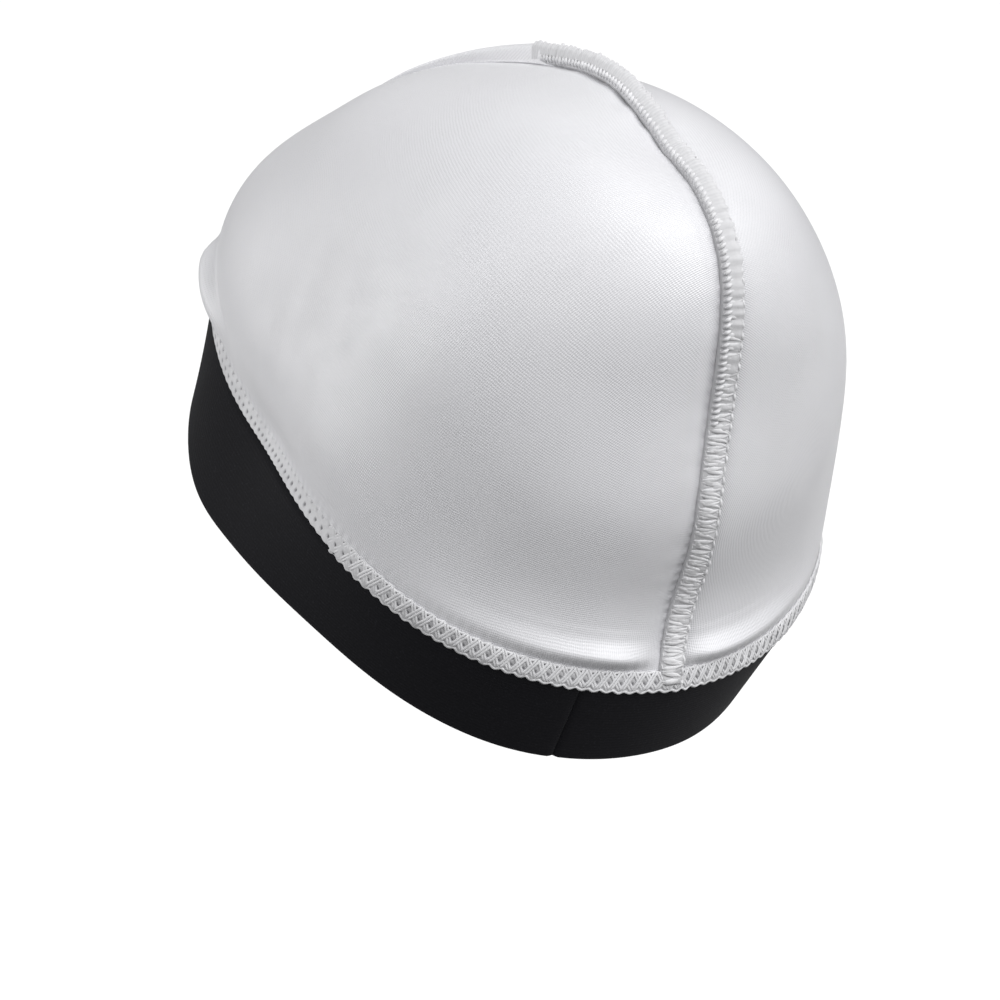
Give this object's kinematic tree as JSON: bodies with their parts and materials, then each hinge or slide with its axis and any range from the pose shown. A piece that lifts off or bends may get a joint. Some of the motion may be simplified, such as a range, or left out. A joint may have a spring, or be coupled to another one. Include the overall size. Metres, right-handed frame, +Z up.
{
  "type": "wave cap",
  "caption": "Close-fitting stretch satin cap with a wide elastic band, shown in the form it has when worn: hollow dome, overlocked back seam and flat-stitched hem.",
  "frame": {"origin": "middle of the head opening, at the height of the hem line: the head_seat mount", "axes": "+Z up as worn, -Y the way the wearer faces, +X the wearer's left; the hem plane drops 34.7 degrees from the forehead to the nape"},
  "size_m": [0.1538, 0.2057, 0.1838],
  "materials": {
    "satin": "satin",
    "thread": "matte",
    "elastic": "matte"
  },
  "bodies": {
    "root": {"crown": "satin", "crown_seam": "thread", "hem_seam": "thread", "headband": "elastic"}
  },
  "joints": []
}
